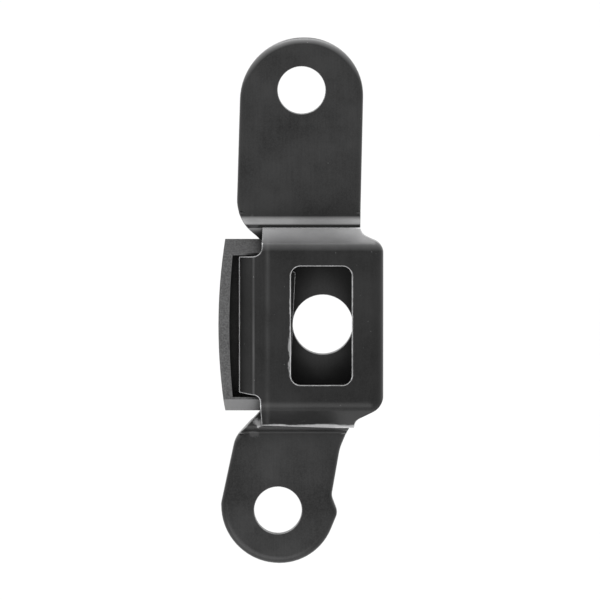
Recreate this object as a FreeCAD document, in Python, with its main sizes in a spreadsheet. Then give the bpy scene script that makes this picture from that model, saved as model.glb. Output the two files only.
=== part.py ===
import FreeCAD, Part
import math
import os
import Sketcher

# Wall-side keeper of a stair gate latch.
# +Z is up, +X is to the right seen from the front, and the front faces -Y.
# The back plane that lies on the wall is y = 0, and the middle hole's axis is x = z = 0.
# "Forward" distances below are measured from the wall, so forward = -y.

V = FreeCAD.Vector
FRONT = V(0, -1, 0)
FAR = 60.0

SIZES = {
    # base plate
    "base_gauge": 2.5,
    "joggle_rise": 2.0,
    "upper_ramp_run": 1.6,
    "lower_step_run": 0.5,
    "raised_top": 17.5,
    "raised_bottom": -18.95,
    "middle_hole_dia": 10.8,
    "ear_hole_dia": 8.6,
    "upper_hole_x": -3.8,
    "upper_hole_z": 42.0,
    "lower_hole_x": -8.05,
    "lower_hole_z": -33.75,
    "edge_rollover": 1.3,
    "ramp_bend": 1.2,
    "step_bend": 0.5,
    "upper_overlap": 0.9,
    "lower_overlap": 0.45,
    # keeper cover
    "cover_gauge": 1.5,
    "cover_front": 9.9,
    "cover_left": -15.0,
    "cover_right": 10.85,
    "face_top": 14.45,
    "face_bottom": -14.5,
    "flange_top": 17.46,
    "flange_bottom": -18.65,
    "cover_bend": 2.3,
    "window_left": -5.72,
    "window_right": 5.2,
    "window_top": 10.9,
    "window_bottom": -10.45,
    "window_corner": 1.7,
    "lip_fold": 2.4,
    "fold_bend": 1.6,
    "lip_tip_forward": 7.45,
    "tab_width": 4.0,
    "tab_top": 16.95,
    "tab_bottom": -17.95,
    "tab_clearance": 0.15,
    "tab_tip_forward": 2.15,
    "tab_root_forward": 5.1,
    # thumb slide
    "slide_back": 4.7,
    "slide_front": 8.15,
    "slide_half_height": 15.45,
    "slide_shoulder": 2.3,
    "slide_right": 6.9,
    "slide_left_middle": -18.7,
    "slide_left_end": -17.5,
    "thumb_edge": 0.45,
    "pocket_half_height": 12.75,
    "pocket_floor": 5.4,
    "pocket_left_middle": -16.75,
    "pocket_left_end": -16.15,
    "pocket_right": -13.4,
    "lip_relief": 1.5,
    "channel_half_width": 1.0,
    "channel_depth": 2.3,
    "seat_left": -11.9,
    "seat_clearance": 0.2,
    "aperture_left": -6.8,
    "aperture_right": 5.8,
    "aperture_half_height": 10.95,
    # push plate and its pins
    "plate_gauge": 1.2,
    "plate_back": 4.8,
    "plate_half_height": 9.6,
    "pin_dia": 2.0,
    "pin_x": -9.5,
    "pin_z": 6.0,
    "pin_length": 2.6,
    "bore_depth": 2.8,
    # return springs
    "spring_dia": 1.8,
    "spring_wire": 0.3,
    "spring_coils": 12.0,
    "spring_z": 12.4,
    "spring_forward": 5.85,
    "spring_left": -3.0,
    "spring_right": 9.3,
}

doc = FreeCAD.newDocument("StairGateKeeper")
sheet = doc.addObject("Spreadsheet::Sheet", "Sizes")
for row, (name, value) in enumerate(SIZES.items(), start=1):
    sheet.set("A%d" % row, name)
    sheet.set("B%d" % row, str(value))
    sheet.setAlias("B%d" % row, name)
doc.recompute()


def size(name):
    return float(sheet.get(name))


def bind(obj, prop, formula):
    """Drive a property from the spreadsheet; names in the formula are aliases."""
    words = []
    for word in formula.split():
        words.append("Sizes." + word if word in SIZES else word)
    obj.setExpression(prop, " ".join(words))


# ---------------------------------------------------------------- outlines

def rounded(points):
    """Lines and arcs through (u, v, radius) corners of a closed outline."""
    count = len(points)
    starts = []
    ends = []
    arcs = []
    for index, (u, v, radius) in enumerate(points):
        corner = V(u, v, 0)
        before = V(points[index - 1][0], points[index - 1][1], 0)
        after = V(points[(index + 1) % count][0], points[(index + 1) % count][1], 0)
        to_before = (before - corner).normalize()
        to_after = (after - corner).normalize()
        if radius <= 0:
            starts.append(corner)
            ends.append(corner)
            arcs.append(None)
            continue
        half = to_before.getAngle(to_after) / 2
        reach = radius / math.tan(half)
        start = corner + to_before * reach
        end = corner + to_after * reach
        bisector = (to_before + to_after).normalize()
        centre = corner + bisector * (radius / math.sin(half))
        middle = centre - bisector * radius
        starts.append(start)
        ends.append(end)
        arcs.append(Part.Arc(start, middle, end))
    pieces = []
    for index in range(count):
        if arcs[index] is not None:
            pieces.append(arcs[index])
        leave = ends[index]
        arrive = starts[(index + 1) % count]
        if leave.distanceToPoint(arrive) > 1e-6:
            pieces.append(Part.LineSegment(leave, arrive))
    return pieces


def sheet_section(path, gauge, bends):
    """Section of a bent strip: the front path and its copy one gauge behind.

    Each bend has its inside radius and its outside radius.
    """
    points = [V(u, v, 0) for u, v in path]
    normals = []
    for first, second in zip(points, points[1:]):
        along = (second - first).normalize()
        normals.append(V(-along.y, along.x, 0))
    behind = [points[0] + normals[0] * gauge]
    front_radii = [0]
    back_radii = [0]
    for index, (inside, outside) in enumerate(bends, start=1):
        mitre = (normals[index - 1] + normals[index]).normalize()
        stretch = gauge / mitre.dot(normals[index])
        behind.append(points[index] + mitre * stretch)
        turn = normals[index - 1].cross(normals[index]).z
        front_radii.append(inside if turn > 0 else outside)
        back_radii.append(outside if turn > 0 else inside)
    behind.append(points[-1] + normals[-1] * gauge)
    front_radii.append(0)
    back_radii.append(0)
    outline = [(p.x, p.y, r) for p, r in zip(points, front_radii)]
    outline += [(p.x, p.y, r) for p, r in reversed(list(zip(behind, back_radii)))]
    return outline


# ---------------------------------------------------------------- PartDesign helpers

def new_body(name):
    body = doc.addObject("PartDesign::Body", name)
    body.Label = name
    return body


def plane_of(body, role):
    for feature in body.Origin.OriginFeatures:
        if feature.Role == role:
            return feature


def sketch_on(body, name, role, *outlines):
    """A sketch on one of the body's own planes, holding closed outlines."""
    sketch = body.newObject("Sketcher::SketchObject", name)
    sketch.AttachmentSupport = [(plane_of(body, role), "")]
    sketch.MapMode = "FlatFace"
    for outline in outlines:
        first = sketch.GeometryCount
        sketch.addGeometry(outline)
        last = sketch.GeometryCount - 1
        if len(outline) > 1:
            join_ends(sketch, first, last)
    return sketch


def join_ends(sketch, first, last):
    """Make neighbouring ends of one closed outline coincident."""
    ends = []
    for index in range(first, last + 1):
        for position in (1, 2):
            ends.append((index, position, sketch.getPoint(index, position)))
    while ends:
        index, position, point = ends.pop(0)
        for other in ends:
            if other[2].distanceToPoint(point) < 1e-5:
                pair = (index, position, other[0], other[1])
                sketch.addConstraint(Sketcher.Constraint("Coincident", *pair))
                ends.remove(other)
                break


def circle(u, v, diameter):
    return [Part.Circle(V(u, v, 0), V(0, 0, 1), diameter / 2)]


def drive_circle(sketch, index, diameter, across, up):
    """Tie one circle's diameter and centre to the spreadsheet."""
    position = sketch.getPoint(index, 3)
    sketch.addConstraint(Sketcher.Constraint("Diameter", index, size(diameter)))
    name = "Diameter%d" % index
    sketch.renameConstraint(sketch.ConstraintCount - 1, name)
    bind(sketch, "Constraints." + name, diameter)
    for kind, alias, value in (("DistanceX", across, position.x), ("DistanceY", up, position.y)):
        if alias is None:
            continue
        sketch.addConstraint(Sketcher.Constraint(kind, -1, 1, index, 3, value))
        name = "%s%d" % (kind, index)
        sketch.renameConstraint(sketch.ConstraintCount - 1, name)
        bind(sketch, "Constraints." + name, alias)


def pad(body, name, sketch, length, offset=None):
    """Pad a sketch; offset is how far forward of its plane the pad starts."""
    if offset is not None:
        sketch.AttachmentOffset = FreeCAD.Placement(V(0, 0, size(offset)), FreeCAD.Rotation())
        bind(sketch, "AttachmentOffset.Base.z", offset)
    feature = body.newObject("PartDesign::Pad", name)
    feature.Profile = sketch
    bind(feature, "Length", length)
    return finish_step(body, sketch, feature)


def cut_through(body, name, sketch):
    """Cut a sketch right through the body, both ways from its plane."""
    feature = body.newObject("PartDesign::Pocket", name)
    feature.Profile = sketch
    feature.SideType = "Symmetric"
    feature.Length = 2 * FAR
    return finish_step(body, sketch, feature)


def cut_between(body, name, sketch, start, end):
    """Cut a front-view sketch between two forward distances."""
    sketch.AttachmentOffset = FreeCAD.Placement(V(0, 0, size(start)), FreeCAD.Rotation())
    bind(sketch, "AttachmentOffset.Base.z", start)
    feature = body.newObject("PartDesign::Pocket", name)
    feature.Profile = sketch
    feature.Reversed = True
    bind(feature, "Length", end + " - " + start)
    return finish_step(body, sketch, feature)


def finish_step(body, sketch, feature):
    before = body.Shape.Volume if body.Shape.Solids else 0.0
    sketch.Visibility = False
    body.Tip = feature
    doc.recompute()
    change = abs(body.Shape.Volume - before)
    if change < 1e-3:
        raise RuntimeError(feature.Name + " changed nothing")
    return feature


def border():
    """A frame far outside the part, so a cut removes all but the outline in it."""
    return rounded([(-FAR, -FAR, 0), (FAR, -FAR, 0), (FAR, FAR, 0), (-FAR, FAR, 0)])


def rectangle(left, bottom, right, top, radius=0):
    corners = [(left, bottom), (right, bottom), (right, top), (left, top)]
    return rounded([(u, v, radius) for u, v in corners])


# ---------------------------------------------------------------- base plate

TAB_CENTRES = (-5.6, 2.6)


def base_outline():
    """Front view of the plate: two offset ears joined by a narrow middle."""
    return rounded([
        (-14.55, 51.4, 11.4),
        (7.5, 51.4, 10.4),
        (6.7, 15.0, 20.0),
        (6.7, -14.0, 4.0),
        (3.1, -22.6, 8.0),
        (1.6, -31.2, 2.5),
        (2.75, -34.2, 2.2),
        (-1.08, -43.42, 10.0),
        (-18.3, -43.42, 10.5),
        (-18.3, -32.5, 2.0),
        (-15.75, -20.6, 5.0),
        (-10.9, -15.3, 2.0),
        (-10.9, 15.1, 2.5),
        (-15.5, 19.0, 7.0),
    ])


def tab_rectangle(centre, grow):
    """Front view of one cover tab, or of its slot when grown."""
    half = size("tab_width") / 2 + grow
    gauge = size("cover_gauge")
    high = size("tab_top")
    low = size("tab_bottom")
    top = (centre - half, high - gauge - grow, centre + half, high + grow)
    bottom = (centre - half, low - grow, centre + half, low + gauge + grow)
    return rectangle(*top), rectangle(*bottom)


def make_base_plate():
    """Flat ears with rolled-over edges, joined by a middle that is joggled forward."""
    body = new_body("base_plate")
    ears = sketch_on(body, "EarOutline", "XZ_Plane", base_outline())
    pad(body, "FlatPlate", ears, "base_gauge")
    roll_over(body)
    lower_bend = size("raised_bottom") - size("lower_step_run")
    upper_bend = size("raised_top") + size("upper_ramp_run")
    bottom = lower_bend - size("lower_overlap")
    top = upper_bend + size("upper_overlap")
    middle = sketch_on(body, "MiddleGap", "XZ_Plane", rectangle(-FAR, bottom, FAR, top))
    cut_through(body, "EarsOnly", middle)
    low = -size("base_gauge")
    high = low - size("joggle_rise")
    path = [
        (low, bottom),
        (low, lower_bend),
        (high, size("raised_bottom")),
        (high, size("raised_top")),
        (low, upper_bend),
        (low, top),
    ]
    step = (size("step_bend"), 2 * size("step_bend"))
    ramp = (size("ramp_bend"), size("ramp_bend") + size("base_gauge"))
    section = sheet_section(path, -size("base_gauge"), [step, step, ramp, ramp])
    strip = sketch_on(body, "MiddleSection", "YZ_Plane", rounded(section))
    joggle = body.newObject("PartDesign::Pad", "JoggledMiddle")
    joggle.Profile = strip
    joggle.SideType = "Symmetric"
    joggle.Length = FAR
    finish_step(body, strip, joggle)
    trim = sketch_on(body, "BaseOutline", "XZ_Plane", border(), base_outline())
    cut_through(body, "BaseBlank", trim)
    holes = sketch_on(
        body, "BaseHoles", "XZ_Plane",
        circle(0, 0, size("middle_hole_dia")),
        circle(size("upper_hole_x"), size("upper_hole_z"), size("ear_hole_dia")),
        circle(size("lower_hole_x"), size("lower_hole_z"), size("ear_hole_dia")),
    )
    drive_circle(holes, 0, "middle_hole_dia", None, None)
    drive_circle(holes, 1, "ear_hole_dia", "upper_hole_x", "upper_hole_z")
    drive_circle(holes, 2, "ear_hole_dia", "lower_hole_x", "lower_hole_z")
    cut_through(body, "BaseDrilled", holes)
    slots = []
    for centre in TAB_CENTRES:
        slots += tab_rectangle(centre, size("tab_clearance"))
    slot_sketch = sketch_on(body, "BaseSlots", "XZ_Plane", *slots)
    cut_through(body, "BaseSlotted", slot_sketch)
    return body


def roll_over(body):
    """Round the punched front edge all the way along the outline."""
    front = -size("base_gauge")
    chosen = []
    for index, edge in enumerate(body.Shape.Edges, start=1):
        box = edge.BoundBox
        if box.YLength < 1e-4 and abs(box.YMin - front) < 1e-4:
            chosen.append("Edge%d" % index)
    add_fillet(body, "EdgeRollover", chosen, "edge_rollover")


def add_fillet(body, name, edges, radius):
    before = body.Shape.Volume
    base = body.Tip
    fillet = body.newObject("PartDesign::Fillet", name)
    fillet.Base = (base, edges)
    bind(fillet, "Radius", radius)
    body.Tip = fillet
    doc.recompute()
    if not fillet.isValid() or abs(body.Shape.Volume - before) < 1e-3:
        raise RuntimeError(name + " changed nothing")


# ---------------------------------------------------------------- keeper cover

def cover_section(inset):
    """Side view of the cover's outside, or of its hollow when inset by the gauge."""
    back = -(size("base_gauge") + size("joggle_rise"))
    face = -size("cover_front")
    corners = [
        V(back, size("flange_bottom"), 0),
        V(face, size("face_bottom"), 0),
        V(face, size("face_top"), 0),
        V(back, size("flange_top"), 0),
    ]
    open_back = V(back + (1.0 if inset else 0.0), 0, 0)
    lines = [(open_back, V(0, 1, 0))]
    for first, second in zip(corners, corners[1:]):
        along = (second - first).normalize()
        lines.append((first + V(along.y, -along.x, 0) * inset, along))
    bend = size("cover_bend") - inset
    outline = []
    for index, radius in enumerate((0, bend, bend, 0)):
        point = meeting(lines[index], lines[(index + 1) % 4])
        outline.append((point.x, point.y, radius))
    return rounded(outline)


def meeting(first, second):
    """Where two lines, each a point and a direction, cross."""
    (p, u), (q, w) = first, second
    gap = q - p
    reach = (gap.x * w.y - gap.y * w.x) / (u.x * w.y - u.y * w.x)
    return p + u * reach


def cover_outline():
    """Front view of the cover: shoulders on the right, a notch round the lip on the left."""
    right = size("cover_right") + 0.05
    left = size("cover_left") - 3
    return rounded([
        (-10.75, 19.5, 0),
        (6.8, 19.5, 0),
        (6.8, 16.4, 1.8),
        (right, 14.6, 2.6),
        (right, -14.35, 3.6),
        (5.9, -17.1, 1.8),
        (5.6, -18.75, 0),
        (-10.95, -18.15, 0),
        (-11.3, -12.35, 1.2),
        (left, -11.6, 0),
        (left, 12.2, 0),
        (-10.95, 12.75, 1.6),
    ])


def cover_block(name, inset):
    """A solid block with the cover's outside shape, or its hollow when inset."""
    body = new_body(name)
    block = sketch_on(body, name + "_section", "YZ_Plane", cover_section(inset))
    left = size("cover_left") + inset
    right = size("cover_right") - inset
    block.AttachmentOffset = FreeCAD.Placement(V(0, 0, left), FreeCAD.Rotation())
    solid = body.newObject("PartDesign::Pad", name + "_block")
    solid.Profile = block
    solid.Length = right - left
    finish_step(body, block, solid)
    back = max(vertex.Y for vertex in body.Shape.Vertexes)
    chosen = []
    for index, edge in enumerate(body.Shape.Edges, start=1):
        box = edge.BoundBox
        on_right = box.XLength < 1e-4 and abs(box.XMin - right) < 1e-4
        on_back = box.YLength < 1e-4 and abs(box.YMin - back) < 1e-4
        if on_right and not on_back:
            chosen.append("Edge%d" % index)
    add_fillet(body, name + "_bends", chosen, "cover_bend - %s" % inset)
    fold_lip(body, name, inset)
    return body


def fold_lip(body, name, inset):
    """Slant the left end back at 45 degrees, seen from above."""
    reach = size("cover_front") - size("cover_left") - size("lip_fold") - inset * math.sqrt(2)
    front = size("cover_front") + 1
    left = size("cover_left") - 1
    corners = [(front - reach, -front, 0), (left, -(reach + left), 0), (left, -front, 0)]
    slant = sketch_on(body, name + "_slant", "XY_Plane", rounded(corners))
    cut_through(body, name + "_lip", slant)


def soften_fold(body):
    """Round the outside of the fold between the cover's face and its lip."""
    fold = size("cover_left") + size("lip_fold")
    chosen = []
    for index, edge in enumerate(body.Shape.Edges, start=1):
        box = edge.BoundBox
        upright = box.XLength < 1e-4 and box.YLength < 1e-4
        if upright and abs(box.XMin - fold) < 1e-3:
            chosen.append("Edge%d" % index)
    add_fillet(body, "LipFold", chosen, "fold_bend")


def make_keeper_cover():
    """The folded cover: hollow block, shaped outline, window, trimmed lip and staked tabs."""
    body = cover_block("keeper_cover", 0)
    soften_fold(body)
    hollow = cover_block("cover_hollow", size("cover_gauge"))
    emptied = body.newObject("PartDesign::Boolean", "CoverShell")
    emptied.Type = "Cut"
    emptied.setObjects([hollow])
    body.Tip = emptied
    doc.recompute()
    trim = sketch_on(body, "CoverOutline", "XZ_Plane", border(), cover_outline())
    cut_through(body, "CoverBlank", trim)
    window = sketch_on(body, "CoverWindow", "XZ_Plane", rectangle(
        size("window_left"), size("window_bottom"),
        size("window_right"), size("window_top"), size("window_corner"),
    ))
    cut_through(body, "CoverPierced", window)
    inner_left = size("cover_left") + size("lip_fold")
    lip = sketch_on(body, "LipTrim", "XZ_Plane", rectangle(-FAR / 2, -FAR / 2, inner_left, FAR / 2))
    lip_cut = body.newObject("PartDesign::Pocket", "LipTrimmed")
    lip_cut.Profile = lip
    lip_cut.Reversed = True
    bind(lip_cut, "Length", "lip_tip_forward")
    finish_step(body, lip, lip_cut)
    add_tabs(body)
    return body


def add_tabs(body):
    """Tabs from the flanges' ends, staked in the plate's slots."""
    outlines = []
    for centre in TAB_CENTRES:
        outlines += tab_rectangle(centre, 0)
    sketch = sketch_on(body, "TabOutlines", "XZ_Plane", *outlines)
    sketch.AttachmentOffset = FreeCAD.Placement(V(0, 0, size("tab_tip_forward")), FreeCAD.Rotation())
    bind(sketch, "AttachmentOffset.Base.z", "tab_tip_forward")
    tabs = body.newObject("PartDesign::Pad", "StakedTabs")
    tabs.Profile = sketch
    bind(tabs, "Length", "tab_root_forward - tab_tip_forward")
    finish_step(body, sketch, tabs)


# ---------------------------------------------------------------- thumb slide

def bowed(left_end, left_middle, half_height, right):
    """A rectangle whose left side bows outward through the given middle."""
    top = V(left_end, half_height, 0)
    middle = V(left_middle, 0, 0)
    bottom = V(left_end, -half_height, 0)
    lower_right = V(right, -half_height, 0)
    upper_right = V(right, half_height, 0)
    return [
        Part.Arc(top, middle, bottom),
        Part.LineSegment(bottom, lower_right),
        Part.LineSegment(lower_right, upper_right),
        Part.LineSegment(upper_right, top),
    ]


def make_release_slide():
    """The moulded slide: sloped ends, thumb rim, lip pocket, aperture and the seats behind it."""
    body = new_body("release_slide")
    half = size("slide_half_height")
    outline = bowed(size("slide_left_end"), size("slide_left_middle"), half, size("slide_right"))
    block = sketch_on(body, "SlideOutline", "XZ_Plane", outline)
    pad(body, "SlideBlock", block, "slide_front - slide_back", "slide_back")
    slope_ends(body)
    soften_slide(body)
    cut_lip_pocket(body)
    opening = sketch_on(body, "ApertureOutline", "XZ_Plane", rectangle(
        size("aperture_left"), -size("aperture_half_height"),
        size("aperture_right"), size("aperture_half_height"), 1.0,
    ))
    cut_through(body, "SlideAperture", opening)
    channels = []
    for side in (1, -1):
        low = side * size("spring_z") - size("channel_half_width")
        high = side * size("spring_z") + size("channel_half_width")
        channels.append(rectangle(size("spring_left"), low, size("slide_right") + 1, high))
    cut_behind(body, "SpringChannels", channels, "channel_depth")
    clearance = size("seat_clearance")
    seat_half = size("plate_half_height") + clearance
    seat = rectangle(size("seat_left"), -seat_half, size("aperture_left") + clearance, seat_half)
    cut_behind(body, "PlateSeat", [seat], "plate_back + plate_gauge - slide_back")
    cut_behind(body, "PinBores", pin_circles(), "bore_depth")
    return body


def slope_ends(body):
    """Slope the slide's top and bottom ends back from the front face."""
    half = size("slide_half_height")
    shoulder = half - size("slide_shoulder")
    back = -size("slide_back") + 0.001
    front = -size("slide_front") - 0.001
    slopes = []
    for side in (1, -1):
        slopes.append(rounded([
            (back, side * half, 0),
            (front, side * shoulder, 0),
            (front, side * (half + 1), 0),
            (back, side * (half + 1), 0),
        ]))
    sketch = sketch_on(body, "SlideSlopes", "YZ_Plane", *slopes)
    cut_through(body, "SlideSloped", sketch)


def cut_lip_pocket(body):
    """The groove that the cover's lip stands in, its right side sloped to clear the lip."""
    half = size("pocket_half_height")
    outline = bowed(size("pocket_left_end"), size("pocket_left_middle"), half, size("pocket_right"))
    recess = sketch_on(body, "PocketOutline", "XZ_Plane", outline)
    cut_between(body, "SlidePocket", recess, "pocket_floor", "slide_front")
    right = size("pocket_right")
    front = -size("slide_front")
    slant = size("lip_relief")
    relief = sketch_on(body, "LipRelief", "XY_Plane", rounded([
        (right - 0.2, front - 0.2, 0),
        (right + slant, front - 0.2, 0),
        (right + slant, front, 0),
        (right, front + slant, 0),
        (right - 0.2, front + slant, 0),
    ]))
    feature = body.newObject("PartDesign::Pocket", "LipRelieved")
    feature.Profile = relief
    feature.SideType = "Symmetric"
    feature.Length = 2 * half
    finish_step(body, relief, feature)


def cut_behind(body, name, outlines, depth):
    """Cut front-view outlines into the back of the slide, to a depth."""
    sketch = sketch_on(body, name + "Outline", "XZ_Plane", *outlines)
    sketch.AttachmentOffset = FreeCAD.Placement(V(0, 0, size("slide_back")), FreeCAD.Rotation())
    bind(sketch, "AttachmentOffset.Base.z", "slide_back")
    feature = body.newObject("PartDesign::Pocket", name)
    feature.Profile = sketch
    feature.Reversed = True
    bind(feature, "Length", depth)
    finish_step(body, sketch, feature)


def pin_circles():
    return [circle(size("pin_x"), side * size("pin_z"), size("pin_dia")) for side in (1, -1)]


def soften_slide(body):
    """Round the thumb end's moulded front edge."""
    shape = body.Shape
    chosen = []
    for index, edge in enumerate(shape.Edges, start=1):
        box = edge.BoundBox
        on_front = box.YLength < 1e-3 and abs(box.YMin + size("slide_front")) < 1e-2
        if on_front and box.XMax < size("slide_left_end") + 0.5 and box.ZLength > 5:
            chosen.append("Edge%d" % index)
    add_fillet(body, "ThumbEdge", chosen, "thumb_edge")


# ---------------------------------------------------------------- small parts

def make_pusher_plate():
    """The steel plate behind the slide that bears on the catch."""
    body = new_body("pusher_plate")
    half = size("plate_half_height")
    outline = rounded([
        (-11.6, -half, 0.6),
        (-5.85, -half, 0.3),
        (-4.9, half, 0.3),
        (-11.6, half, 0.6),
    ])
    blank = sketch_on(body, "PlateOutline", "XZ_Plane", outline)
    pad(body, "PlateBlank", blank, "plate_gauge", "plate_back")
    bores = sketch_on(body, "PlateBores", "XZ_Plane", *pin_circles())
    cut_through(body, "PlatePierced", bores)
    return body


def make_pusher_pins():
    """Two pressed pins that hold the steel plate to the slide."""
    pins = []
    for name, side in (("UpperPin", 1), ("LowerPin", -1)):
        pin = doc.addObject("Part::Cylinder", name)
        bind(pin, "Radius", "pin_dia / 2")
        bind(pin, "Height", "pin_length")
        base = V(size("pin_x"), -size("plate_back"), side * size("pin_z"))
        pin.Placement = FreeCAD.Placement(base, FreeCAD.Rotation(V(0, 0, 1), FRONT))
        pins.append(pin)
    pair = doc.addObject("Part::Compound", "pusher_pins")
    pair.Label = "pusher_pins"
    pair.Links = pins
    return pair


def make_return_spring(name, side):
    """A compression spring lying along X between the slide and the cover's right wall."""
    body = new_body(name)
    wire = size("spring_wire")
    coil = (size("spring_dia") - wire) / 2
    profile = sketch_on(body, name + "_wire", "XZ_Plane", circle(wire / 2 + 0.05, coil, wire))
    helix = body.newObject("PartDesign::AdditiveHelix", name + "_coils")
    helix.Profile = profile
    helix.ReferenceAxis = (profile, ["H_Axis"])
    helix.Mode = "height-turns-angle"
    bind(helix, "Height", "spring_right - spring_left - spring_wire - 0.1")
    bind(helix, "Turns", "spring_coils")
    profile.Visibility = False
    body.Tip = helix
    base = V(size("spring_left"), -size("spring_forward"), side * size("spring_z"))
    body.Placement = FreeCAD.Placement(base, FreeCAD.Rotation())
    doc.recompute()
    return body


def write_parts(parts):
    """Check every object and write one STEP file for each sub-part."""
    doc.recompute()
    for obj in doc.Objects:
        if "Invalid" in obj.State or "Error" in obj.State:
            raise RuntimeError(obj.Name + " is not valid")
    os.makedirs("parts", exist_ok=True)
    for part in parts:
        shape = part.Shape
        if shape.isNull() or not shape.isValid():
            raise RuntimeError(part.Label + " has no valid shape")
        shape.exportStep("parts/" + part.Label + ".step")
        box = shape.BoundBox
        print(part.Label, len(shape.Solids), "solids", round(shape.Volume, 1), "mm3",
              [round(v, 2) for v in (box.XMin, box.YMin, box.ZMin, box.XMax, box.YMax, box.ZMax)])


write_parts([
    make_base_plate(),
    make_keeper_cover(),
    make_release_slide(),
    make_pusher_plate(),
    make_pusher_pins(),
    make_return_spring("return_spring_upper", 1),
    make_return_spring("return_spring_lower", -1),
])
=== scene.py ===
import math

import bpy
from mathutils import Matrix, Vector


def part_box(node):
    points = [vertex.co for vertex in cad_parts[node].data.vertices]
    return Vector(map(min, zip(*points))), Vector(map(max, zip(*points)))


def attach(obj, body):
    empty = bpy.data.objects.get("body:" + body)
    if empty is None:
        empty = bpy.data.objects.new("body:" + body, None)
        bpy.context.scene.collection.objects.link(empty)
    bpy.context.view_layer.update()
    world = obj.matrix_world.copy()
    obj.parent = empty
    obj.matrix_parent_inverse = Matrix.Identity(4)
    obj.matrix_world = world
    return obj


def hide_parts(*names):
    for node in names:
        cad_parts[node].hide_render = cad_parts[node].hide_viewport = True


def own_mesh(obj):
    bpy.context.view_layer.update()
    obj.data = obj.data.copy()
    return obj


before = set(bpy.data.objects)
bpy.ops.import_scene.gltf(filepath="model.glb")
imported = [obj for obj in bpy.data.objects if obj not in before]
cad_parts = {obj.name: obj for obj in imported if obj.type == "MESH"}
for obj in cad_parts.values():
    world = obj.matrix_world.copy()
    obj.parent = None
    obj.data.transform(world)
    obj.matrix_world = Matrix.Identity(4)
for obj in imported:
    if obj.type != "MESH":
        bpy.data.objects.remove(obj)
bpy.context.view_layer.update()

MM = 0.001

# ---------------------------------------------------------------- node helpers

SHADING_SAMPLES = 8
BLUE_CAST = 1.01


def new_material(name):
    """A node material with a Principled shader; returns the material, its tree and the shader."""
    material = bpy.data.materials.new(name)
    material.use_nodes = True
    tree = material.node_tree
    shader = tree.nodes["Principled BSDF"]
    return material, tree, shader


def link(tree, source, target):
    """Joins a node's output to another node's input."""
    tree.links.new(source, target)


def feed(tree, value, socket):
    """Links a node's output to the socket, or sets the socket to a plain number or colour."""
    if isinstance(value, bpy.types.NodeSocket):
        link(tree, value, socket)
    else:
        socket.default_value = value


def grey(value):
    """A very slightly blue grey."""
    return (value, value, value * BLUE_CAST, 1.0)


def object_position(tree):
    """The place on the object, in metres."""
    return tree.nodes.new("ShaderNodeTexCoord").outputs["Object"]


def surface_normal(tree):
    """The direction that the surface faces, without any bump."""
    return tree.nodes.new("ShaderNodeNewGeometry").outputs["Normal"]


def axis_part(tree, vector, axis):
    """One axis of a vector: X is right, Y is back and Z is up."""
    parts = tree.nodes.new("ShaderNodeSeparateXYZ")
    link(tree, vector, parts.inputs["Vector"])
    return parts.outputs[axis]


def position_axis(tree, axis):
    """One object coordinate, in metres."""
    return axis_part(tree, object_position(tree), axis)


def noise(tree, scale, detail=4.0, roughness=0.55, stretch=(1.0, 1.0, 1.0)):
    """A noise value with about scale features per metre, more along an axis stretched above 1."""
    mapping = tree.nodes.new("ShaderNodeMapping")
    mapping.inputs["Scale"].default_value = stretch
    link(tree, object_position(tree), mapping.inputs["Vector"])
    texture = tree.nodes.new("ShaderNodeTexNoise")
    texture.inputs["Scale"].default_value = scale
    texture.inputs["Detail"].default_value = detail
    texture.inputs["Roughness"].default_value = roughness
    link(tree, mapping.outputs["Vector"], texture.inputs["Vector"])
    return texture.outputs["Fac"]


def ramp(tree, value, span, to=(0.0, 1.0)):
    """Maps value from the two ends of span to the two numbers of to, and holds it beyond them."""
    node = tree.nodes.new("ShaderNodeMapRange")
    for name, number in zip(("From Min", "From Max", "To Min", "To Max"), (*span, *to)):
        node.inputs[name].default_value = number
    link(tree, value, node.inputs["Value"])
    return node.outputs["Result"]


def math_node(tree, operation, *values):
    """A Math node fed with numbers or with other nodes' outputs."""
    node = tree.nodes.new("ShaderNodeMath")
    node.operation = operation
    for socket, value in zip(node.inputs, values):
        feed(tree, value, socket)
    return node.outputs["Value"]


def combine(tree, operation, first, *others):
    """Joins values into one by applying the same Math operation to each in turn."""
    total = first
    for value in others:
        total = math_node(tree, operation, total, value)
    return total


def distance_from(tree, value, centre):
    """How far value is from centre, either way."""
    return math_node(tree, "ABSOLUTE", math_node(tree, "SUBTRACT", value, centre))


def blend_colours(tree, factor, first, second):
    """The first colour where factor is 0, the second where it is 1."""
    node = tree.nodes.new("ShaderNodeMix")
    node.data_type = "RGBA"
    link(tree, factor, node.inputs["Factor"])
    for name, colour in (("A", first), ("B", second)):
        socket = next(s for s in node.inputs if s.name == name and s.type == "RGBA")
        feed(tree, colour, socket)
    return next(s for s in node.outputs if s.type == "RGBA")


def bump(tree, height, strength, distance, under=None):
    """A normal roughened by a height value, on top of another normal if one is given."""
    node = tree.nodes.new("ShaderNodeBump")
    node.inputs["Strength"].default_value = strength
    node.inputs["Distance"].default_value = distance
    link(tree, height, node.inputs["Height"])
    if under is not None:
        link(tree, under, node.inputs["Normal"])
    return node.outputs["Normal"]


# ---------------------------------------------------------------- masks by shape

EDGE_CHECK_REACH = 1.5
OUTSIDE_EDGE = (0.6, 0.8)


def openness(tree, distance, only_local):
    """1 on open surfaces, falling towards 0 in recesses; only_local leaves out other pieces."""
    node = tree.nodes.new("ShaderNodeAmbientOcclusion")
    node.samples = SHADING_SAMPLES
    node.only_local = only_local
    node.inputs["Distance"].default_value = distance
    return node.outputs["AO"]


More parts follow.
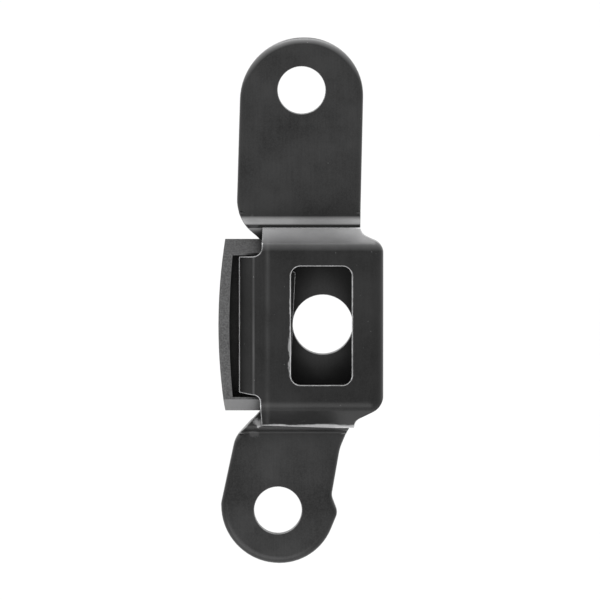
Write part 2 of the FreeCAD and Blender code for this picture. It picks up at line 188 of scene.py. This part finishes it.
def edge_mask(tree, radius, agreement):
    """1 on sharp outside edges, where bevelled and true normals agree less than elsewhere."""
    bevel = tree.nodes.new("ShaderNodeBevel")
    bevel.samples = SHADING_SAMPLES
    bevel.inputs["Radius"].default_value = radius
    dot = tree.nodes.new("ShaderNodeVectorMath")
    dot.operation = "DOT_PRODUCT"
    link(tree, bevel.outputs["Normal"], dot.inputs[0])
    link(tree, surface_normal(tree), dot.inputs[1])
    turned = ramp(tree, dot.outputs["Value"], agreement, to=(1.0, 0.0))
    outside = ramp(tree, openness(tree, radius * EDGE_CHECK_REACH, True), OUTSIDE_EDGE)
    return combine(tree, "MULTIPLY", turned, outside)


def normal_up(tree):
    """The upward part of the surface normal: 1 on level tops, 0 on upright faces."""
    return axis_part(tree, surface_normal(tree), "Z")


# ---------------------------------------------------------------- dust, wear, painted light, painted shade and painted highlights

SLOPING = (0.2, 0.87)
NEARLY_LEVEL = (0.89, 0.97)
DUST_AND_LIGHT_ON_LEVEL = 0.05

# Painted top light: weaker low down and high on the upper ear, full around the cover's upper edge.
PAINTED_LIGHT_RISE = (14.6 * MM, 17.0 * MM)
PAINTED_LIGHT_BELOW = 0.25
PAINTED_LIGHT_FALL = (20.0 * MM, 28.0 * MM)
PAINTED_LIGHT_ABOVE = 0.42

# Where the painted seam shadow starts and ends, up the plate.
SEAM_START = (17.3 * MM, 17.4 * MM)
SEAM_END = (17.85 * MM, 18.1 * MM)

WINDOW_LEFT = -5.72 * MM
WINDOW_WEAR_RISE = (WINDOW_LEFT - 0.05 * MM, WINDOW_LEFT + 0.12 * MM)
WINDOW_WEAR_END = (WINDOW_LEFT + 0.3 * MM, WINDOW_LEFT + 0.5 * MM)
WINDOW_WEAR_FADE = (7.75 * MM, 9.25 * MM)
WINDOW_WEAR_REACH = 0.55 * MM
WINDOW_WEAR_STRENGTH = 0.3

LOWER_EDGE = -18.65 * MM
LOWER_EDGE_BAND_END = (LOWER_EDGE + 0.35 * MM, LOWER_EDGE + 0.65 * MM)
LOWER_EDGE_BAND_REACH = 0.25 * MM
LOWER_EDGE_BAND_FADE = (-4.0 * MM, 5.0 * MM)
LOWER_EDGE_BAND_RIGHT = 0.45

UPPER_EDGE = 17.46 * MM
UPPER_HIGHLIGHT_RISE = (UPPER_EDGE - 0.3 * MM, UPPER_EDGE - 0.12 * MM)
UPPER_HIGHLIGHT_STRENGTH = 0.8

# Each painted highlight line's place across the cover, half width and strength.
FOLD_HIGHLIGHT_LINES = (
    (-12.4 * MM, 0.3 * MM, 0.10),
    (-9.9 * MM, 0.6 * MM, 0.035),
)

# Each painted highlight spot's middle, radius and strength.
HIGHLIGHT_SPOTS = (
    (Vector((-11.5, -4.2, -17.7)) * MM, 1.7 * MM, 0.9),
    (Vector((-12.4, -2.5, -20.0)) * MM, 1.6 * MM, 0.15),
    (Vector((-12.6, -3.4, 18.3)) * MM, 2.2 * MM, 0.15),
)
SPOT_RAGGEDNESS = 2.4 * MM
SPOT_SOFTNESS = 0.5 * MM


def facing_up(tree):
    """0 on upright faces, rising to 1 on slopes that face up, and low again on level faces."""
    rising = ramp(tree, normal_up(tree), SLOPING)
    level = ramp(tree, normal_up(tree), NEARLY_LEVEL, to=(1.0, DUST_AND_LIGHT_ON_LEVEL))
    return combine(tree, "MULTIPLY", rising, level)


def dust_and_painted_top_light(tree, cloud):
    """Patchy dust with painted top light on slopes that face up, strongest around the cover's upper
    edge.
    """
    patchy = ramp(tree, cloud, (0.3, 0.65), to=(0.7, 1.0))
    up = position_axis(tree, "Z")
    rising = ramp(tree, up, PAINTED_LIGHT_RISE, to=(PAINTED_LIGHT_BELOW, 1.0))
    falling = ramp(tree, up, PAINTED_LIGHT_FALL, to=(1.0, PAINTED_LIGHT_ABOVE))
    return combine(tree, "MULTIPLY", facing_up(tree), patchy, rising, falling)


def painted_seam_shadow(tree):
    """Painted shadow on the plate, in the seam along the cover's upper edge."""
    up = position_axis(tree, "Z")
    above = ramp(tree, up, SEAM_START)
    below = ramp(tree, up, SEAM_END, to=(1.0, 0.0))
    return combine(tree, "MULTIPLY", above, below)


def window_wear(tree):
    """Ragged bare metal beside the window's left edge, where the hook has rubbed."""
    across = position_axis(tree, "X")
    from_middle = distance_from(tree, position_axis(tree, "Z"), 0.0)
    ragged = noise(tree, scale=500, detail=4.0, roughness=0.65, stretch=(1.0, 1.0, 0.4))
    reach = combine(tree, "MULTIPLY", ramp(tree, ragged, (0.42, 0.62)), WINDOW_WEAR_REACH)
    edge = combine(tree, "ADD", across, reach)
    near = ramp(tree, edge, WINDOW_WEAR_RISE, to=(0.0, WINDOW_WEAR_STRENGTH))
    inside = ramp(tree, across, WINDOW_WEAR_END, to=(1.0, 0.0))
    within = ramp(tree, from_middle, WINDOW_WEAR_FADE, to=(1.0, 0.0))
    return combine(tree, "MULTIPLY", near, inside, within)


def lower_edge_wear_and_highlight(tree):
    """Coating rubbed off along the cover's lower edge, with a painted highlight there, less towards
    the right.
    """
    ragged = noise(tree, scale=700, detail=3.0, roughness=0.6, stretch=(0.5, 1.0, 1.0))
    reach = combine(tree, "MULTIPLY", ramp(tree, ragged, (0.4, 0.65)), LOWER_EDGE_BAND_REACH)
    line = combine(tree, "SUBTRACT", position_axis(tree, "Z"), reach)
    near = ramp(tree, line, LOWER_EDGE_BAND_END, to=(1.0, 0.0))
    fade = ramp(tree, position_axis(tree, "X"), LOWER_EDGE_BAND_FADE, to=(1.0, LOWER_EDGE_BAND_RIGHT))
    return combine(tree, "MULTIPLY", near, fade)


def upper_edge_painted_highlight(tree):
    """A thin painted highlight along the cover's upper edge, drawn as pale bare metal."""
    return ramp(tree, position_axis(tree, "Z"), UPPER_HIGHLIGHT_RISE, to=(0.0, UPPER_HIGHLIGHT_STRENGTH))


def fold_painted_highlights(tree):
    """Two faint upright painted highlights, along the lip's fold and beside it."""
    across = position_axis(tree, "X")
    streaks = []
    for centre, half_width, strength in FOLD_HIGHLIGHT_LINES:
        off = distance_from(tree, across, centre)
        streaks.append(ramp(tree, off, (0.0, half_width), to=(strength, 0.0)))
    cloud = noise(tree, scale=180, detail=3.0, roughness=0.6, stretch=(1.0, 1.0, 0.5))
    patchy = ramp(tree, cloud, (0.35, 0.65), to=(0.3, 1.0))
    return combine(tree, "MULTIPLY", combine(tree, "MAXIMUM", *streaks), patchy)


def cover_wear_and_highlights(tree):
    """All the wear and painted highlights on the cover, besides its sharp edges."""
    places = (window_wear, fold_painted_highlights, upper_edge_painted_highlight, lower_edge_wear_and_highlight)
    return combine(tree, "MAXIMUM", *(wear(tree) for wear in places))


def painted_corner_highlights(tree):
    """Painted highlights on the plate's offset bends, drawn as pale metallic spots."""
    position = object_position(tree)
    ragged = combine(tree, "MULTIPLY", noise(tree, scale=1400, detail=3.0), SPOT_RAGGEDNESS)
    spots = []
    for centre, radius, strength in HIGHLIGHT_SPOTS:
        away = tree.nodes.new("ShaderNodeVectorMath")
        away.operation = "DISTANCE"
        away.inputs[1].default_value = centre
        link(tree, position, away.inputs[0])
        reach = combine(tree, "ADD", away.outputs["Value"], ragged)
        spots.append(ramp(tree, reach, (radius, radius + SPOT_SOFTNESS), to=(strength, 0.0)))
    return combine(tree, "MAXIMUM", *spots)


def wear_and_edge_highlights(tree, edge_radius, extra_wear_and_highlights):
    """Broken wear and painted highlights along the sharp outside edges, and the extra wear and
    painted highlights if there are any.
    """
    # Sharp outside edges: bare metal wear that also paints the edges' highlights.
    worn = edge_mask(tree, edge_radius, (0.82, 0.91))
    broken = ramp(tree, noise(tree, scale=900, detail=3.0), (0.35, 0.6), to=(0.6, 1.0))
    wear = combine(tree, "MULTIPLY", worn, broken)
    if extra_wear_and_highlights is None:
        return wear
    return combine(tree, "MAXIMUM", wear, extra_wear_and_highlights(tree))


# ---------------------------------------------------------------- materials

SPECK_GREY = 0.16
SEAM_SHADOW_GREY = 0.001
COAT_RECESS_REACH = 6 * MM
COAT_SPECULAR = 0.22
RECESS_ROUGHNESS = 0.45
WORN_METALLIC = 0.8

NYLON_EDGE_RADIUS = 0.2 * MM
NYLON_SCUFF = 0.35
NYLON_RECESS_REACH = 5 * MM
NYLON_SPECULAR = 0.2

FLOOR_GREYS = ((0.93, 0.93, 0.93, 1.0), (0.95, 0.95, 0.95, 1.0))
FLOOR_ROUGHNESS = 0.9


def coating_colour(tree, colour, streak_share, tone, grain):
    """Black that varies with tone, with lighter grit and a few pale specks."""
    middle = 0.5 + streak_share / 2
    shade = ramp(tree, tone, (middle - 0.15, middle + 0.15))
    coat = blend_colours(tree, shade, grey(colour * 0.25), grey(colour * 1.45))
    grit = ramp(tree, grain, (0.35, 0.68), to=(0.0, 0.5))
    coat = blend_colours(tree, grit, coat, grey(colour * 1.9))
    speck = ramp(tree, noise(tree, scale=2400, detail=1.0), (0.80, 0.82))
    return blend_colours(tree, speck, coat, grey(SPECK_GREY))


def coated_steel(name, colour, streak_share, edge_radius, edge_wear_and_highlight_grey, dust_and_light_grey,
                 extra_wear_and_highlights=None, seam_shadow=None):
    """Satin black coating with faint drawn streaks, fine grain, specks, dust with painted top
    light, worn edges with painted edge highlights and painted shade in recesses.

    The two optional functions make masks: one of more wear and painted highlights, one of painted
    shadow in a seam.
    """
    material, tree, shader = new_material(name)
    grain = noise(tree, scale=4200, detail=3.0, roughness=0.7)
    cloud = noise(tree, scale=75, detail=4.0, roughness=0.6)
    streak = noise(tree, scale=420, detail=3.0, roughness=0.6, stretch=(6.0, 1.0, 0.3))
    tone = combine(tree, "ADD", combine(tree, "MULTIPLY", streak, streak_share), cloud)
    coat = coating_colour(tree, colour, streak_share, tone, grain)
    # Dust with painted top light on slopes that face up.
    coat = blend_colours(tree, dust_and_painted_top_light(tree, cloud), coat, grey(dust_and_light_grey))
    # Painted shadow in the seam along the cover's upper edge, where a function for it is given.
    if seam_shadow is not None:
        coat = blend_colours(tree, seam_shadow(tree), coat, grey(SEAM_SHADOW_GREY))
    # Painted shade: darker where ambient occlusion finds recesses.
    painted_recess_shade = ramp(tree, openness(tree, COAT_RECESS_REACH, False), (0.5, 0.97), to=(1.0, 0.0))
    coat = blend_colours(tree, painted_recess_shade, coat, grey(colour * 0.2))
    # Worn edges with painted edge highlights, and any extra wear and painted highlights.
    wear = wear_and_edge_highlights(tree, edge_radius, extra_wear_and_highlights)
    link(tree, blend_colours(tree, wear, coat, grey(edge_wear_and_highlight_grey)), shader.inputs["Base Color"])
    open_rough = ramp(tree, tone, (0.3, 1.2), to=(0.27, 0.37))
    added_rough = combine(tree, "MULTIPLY", painted_recess_shade, RECESS_ROUGHNESS)
    link(tree, combine(tree, "ADD", open_rough, added_rough), shader.inputs["Roughness"])
    link(tree, combine(tree, "MULTIPLY", wear, WORN_METALLIC), shader.inputs["Metallic"])
    grainy = bump(tree, grain, strength=0.15, distance=0.02 * MM)
    drawn = bump(tree, streak, strength=0.2, distance=0.03 * MM, under=grainy)
    link(tree, drawn, shader.inputs["Normal"])
    shader.inputs["Specular IOR Level"].default_value = COAT_SPECULAR
    return material


def grained_nylon(name, colour):
    """Matte grey moulding with a fine grain, painted light on undersides, painted shade in recesses
    and scuffed edges.
    """
    material, tree, shader = new_material(name)
    grain = noise(tree, scale=3400, detail=3.0, roughness=0.7)
    cloud = noise(tree, scale=350, detail=3.0)
    base = blend_colours(
        tree, ramp(tree, grain, (0.38, 0.62)), grey(colour * 0.6), grey(colour * 1.35))
    patch = ramp(tree, cloud, (0.35, 0.7), to=(0.0, 0.3))
    base = blend_colours(tree, patch, base, grey(colour * 1.4))
    edges = edge_mask(tree, NYLON_EDGE_RADIUS, (0.86, 0.96))
    scuffs = combine(tree, "MULTIPLY", edges, NYLON_SCUFF)
    base = blend_colours(tree, scuffs, base, grey(colour * 2.0))
    # Painted light from below: paler where the surface faces down.
    painted_underside_light = ramp(tree, normal_up(tree), (-0.7, -0.3), to=(0.8, 0.0))
    base = blend_colours(tree, painted_underside_light, base, grey(colour * 2.2))
    # Painted shade: near black deep in recesses.
    painted_recess_shade = ramp(tree, openness(tree, NYLON_RECESS_REACH, False), (0.45, 0.8), to=(1.0, 0.0))
    base = blend_colours(tree, painted_recess_shade, base, grey(colour * 0.06))
    link(tree, base, shader.inputs["Base Color"])
    link(tree, ramp(tree, cloud, (0.3, 0.7), to=(0.6, 0.75)), shader.inputs["Roughness"])
    link(tree, bump(tree, grain, strength=0.35, distance=0.04 * MM), shader.inputs["Normal"])
    shader.inputs["Specular IOR Level"].default_value = NYLON_SPECULAR
    return material


def bare_steel(name, colour, roughness, stretch=(1.0, 1.0, 1.0)):
    """Bright steel with fine marks, closer together along a stretched axis."""
    material, tree, shader = new_material(name)
    marks = noise(tree, scale=3000, detail=3.0, roughness=0.6, stretch=stretch)
    cloud = noise(tree, scale=400, detail=3.0)
    scratched = ramp(tree, marks, (0.3, 0.7))
    tone = blend_colours(tree, scratched, grey(colour * 0.75), grey(colour * 1.1))
    dull = ramp(tree, cloud, (0.5, 0.75), to=(0.0, 0.4))
    tone = blend_colours(tree, dull, tone, grey(colour * 0.5))
    link(tree, tone, shader.inputs["Base Color"])
    rough = ramp(tree, marks, (0.3, 0.7), to=(roughness * 0.8, roughness * 1.3))
    link(tree, rough, shader.inputs["Roughness"])
    link(tree, bump(tree, marks, strength=0.2, distance=0.02 * MM), shader.inputs["Normal"])
    shader.inputs["Metallic"].default_value = 1.0
    return material


def painted_floor():
    """Plain pale floor with the faintest mottling."""
    material, tree, shader = new_material("floor_pale")
    cloud = noise(tree, scale=1.5, detail=3.0)
    tone = blend_colours(tree, ramp(tree, cloud, (0.3, 0.7)), *FLOOR_GREYS)
    link(tree, tone, shader.inputs["Base Color"])
    shader.inputs["Roughness"].default_value = FLOOR_ROUGHNESS
    return material


def give(node, material):
    """Puts one material on a CAD node's mesh."""
    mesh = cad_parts[node].data
    mesh.materials.clear()
    mesh.materials.append(material)


give("base_plate", coated_steel(
    "black_plate",
    colour=0.016,
    streak_share=0.2,
    edge_radius=0.4 * MM,
    edge_wear_and_highlight_grey=0.20,
    dust_and_light_grey=0.50,
    extra_wear_and_highlights=painted_corner_highlights,
    seam_shadow=painted_seam_shadow,
))
give("keeper_cover", coated_steel(
    "black_cover",
    colour=0.009,
    streak_share=0.2,
    edge_radius=0.6 * MM,
    edge_wear_and_highlight_grey=0.65,
    dust_and_light_grey=0.42,
    extra_wear_and_highlights=cover_wear_and_highlights,
))
give("pusher_plate", coated_steel(
    "dark_steel",
    colour=0.04,
    streak_share=0.3,
    edge_radius=0.3 * MM,
    edge_wear_and_highlight_grey=0.6,
    dust_and_light_grey=0.04,
))
give("release_slide", grained_nylon("grey_nylon", colour=0.07))
give("pusher_pins", bare_steel("bright_steel", colour=0.55, roughness=0.3, stretch=(1.0, 6.0, 1.0)))

# ---------------------------------------------------------------- return springs

WIRE = 0.3 * MM
COILS = 12
STEPS_A_TURN = 32
WIRE_SIDES = 12
SMALL_TURN = 0.001


def helix_point(turn, start, pitch, middle, radius):
    """A point of the coil's centre line, the axis running along X."""
    angle = 2 * math.pi * turn
    offset = Vector((0, math.cos(angle) * radius, math.sin(angle) * radius))
    return Vector((start + pitch * turn, middle.y, middle.z)) + offset


def coil_points(low, high):
    """Rings of points around a helix that fills the box from low to high."""
    middle = (low + high) / 2
    radius = (high.z - low.z - WIRE) / 2
    start = low.x + WIRE / 2
    pitch = (high.x - low.x - WIRE) / COILS
    points = []
    for ring in range(COILS * STEPS_A_TURN + 1):
        turn = ring / STEPS_A_TURN
        centre = helix_point(turn, start, pitch, middle, radius)
        along = helix_point(turn + SMALL_TURN, start, pitch, middle, radius) - centre
        out = Vector((0, centre.y - middle.y, centre.z - middle.z)).normalized()
        side = along.normalized().cross(out)
        for step in range(WIRE_SIDES):
            angle = 2 * math.pi * step / WIRE_SIDES
            points.append(centre + (out * math.cos(angle) + side * math.sin(angle)) * WIRE / 2)
    return points


def coil_faces():
    """Faces that join each ring of points to the next, and one at each end of the wire."""
    rings = COILS * STEPS_A_TURN
    faces = []
    for ring in range(rings):
        first = ring * WIRE_SIDES
        second = first + WIRE_SIDES
        for step in range(WIRE_SIDES):
            after = (step + 1) % WIRE_SIDES
            faces.append((first + step, first + after, second + after, second + step))
    faces.append(tuple(reversed(range(WIRE_SIDES))))
    faces.append(tuple(rings * WIRE_SIDES + step for step in range(WIRE_SIDES)))
    return faces


def make_spring(name, node, material):
    """A coil spring beside the cover's right wall, filling the CAD spring's box and fixed to the
    housing.
    """
    low, high = (Vector(corner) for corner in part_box(node))
    mesh = bpy.data.meshes.new(name)
    mesh.from_pydata(coil_points(low, high), [], coil_faces())
    mesh.shade_smooth()
    mesh.materials.append(material)
    spring = bpy.data.objects.new(name, mesh)
    bpy.context.scene.collection.objects.link(spring)
    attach(spring, "housing")
    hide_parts(node)
    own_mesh(spring)


spring_steel = bare_steel("spring_wire", colour=0.5, roughness=0.25)
make_spring("coil_upper", "return_spring_upper", spring_steel)
make_spring("coil_lower", "return_spring_lower", spring_steel)

# ---------------------------------------------------------------- floor, light and camera

FLOOR_SIZE = 60
FLOOR_Z = -0.30
WORLD_STRENGTH = 1.1

# Each light's name, place, size and power in watts.
LIGHTS = (
    ("overhead", (0.0, 0.16, 0.50), (0.50, 0.28), 1.5),
    ("low_front", (-0.10, -0.20, -0.24), (0.40, 0.30), 0.9),
)
LIT_POINT = Vector((0, 0, 0))

CAMERA_DISTANCE = 1.4
CAMERA_ELEVATION = math.radians(4.5)
SENSOR_WIDTH = 36.0
SEEN_WIDTH = 0.1077
LOOK_AT = Vector((-0.00408, -0.0045, 0.00443))
CLIP_START = 0.01
CLIP_END = 100


def make_floor():
    """A wide level floor below the part."""
    bpy.ops.mesh.primitive_plane_add(size=FLOOR_SIZE, location=(0, 0, FLOOR_Z))
    floor = bpy.context.object
    floor.name = "floor"
    floor.data.materials.append(painted_floor())


def make_world():
    """Even white light from all around."""
    world = bpy.data.worlds.new("studio")
    bpy.context.scene.world = world
    world.use_nodes = True
    back = world.node_tree.nodes["Background"]
    back.inputs["Color"].default_value = (1, 1, 1, 1)
    back.inputs["Strength"].default_value = WORLD_STRENGTH


def soft_light(name, place, size, power):
    """A rectangular area light turned towards the part."""
    data = bpy.data.lights.new(name, "AREA")
    data.shape = "RECTANGLE"
    data.size, data.size_y = size
    data.energy = power
    lamp = bpy.data.objects.new(name, data)
    bpy.context.scene.collection.objects.link(lamp)
    lamp.location = place
    direction = LIT_POINT - Vector(place)
    lamp.rotation_euler = direction.to_track_quat("-Z", "Y").to_euler()


def make_camera():
    """A long lens a little above the part, straight in front of it."""
    data = bpy.data.cameras.new("camera")
    data.sensor_width = SENSOR_WIDTH
    data.lens = SENSOR_WIDTH * CAMERA_DISTANCE / SEEN_WIDTH
    data.clip_start = CLIP_START
    data.clip_end = CLIP_END
    camera = bpy.data.objects.new("camera", data)
    bpy.context.scene.collection.objects.link(camera)
    back = Vector((0, -math.cos(CAMERA_ELEVATION), math.sin(CAMERA_ELEVATION)))
    camera.location = LOOK_AT + back * CAMERA_DISTANCE
    camera.rotation_euler = (-back).to_track_quat("-Z", "Y").to_euler()
    bpy.context.scene.camera = camera


make_floor()
make_world()
for light in LIGHTS:
    soft_light(*light)
make_camera()
bpy.context.scene.view_settings.view_transform = "Standard"
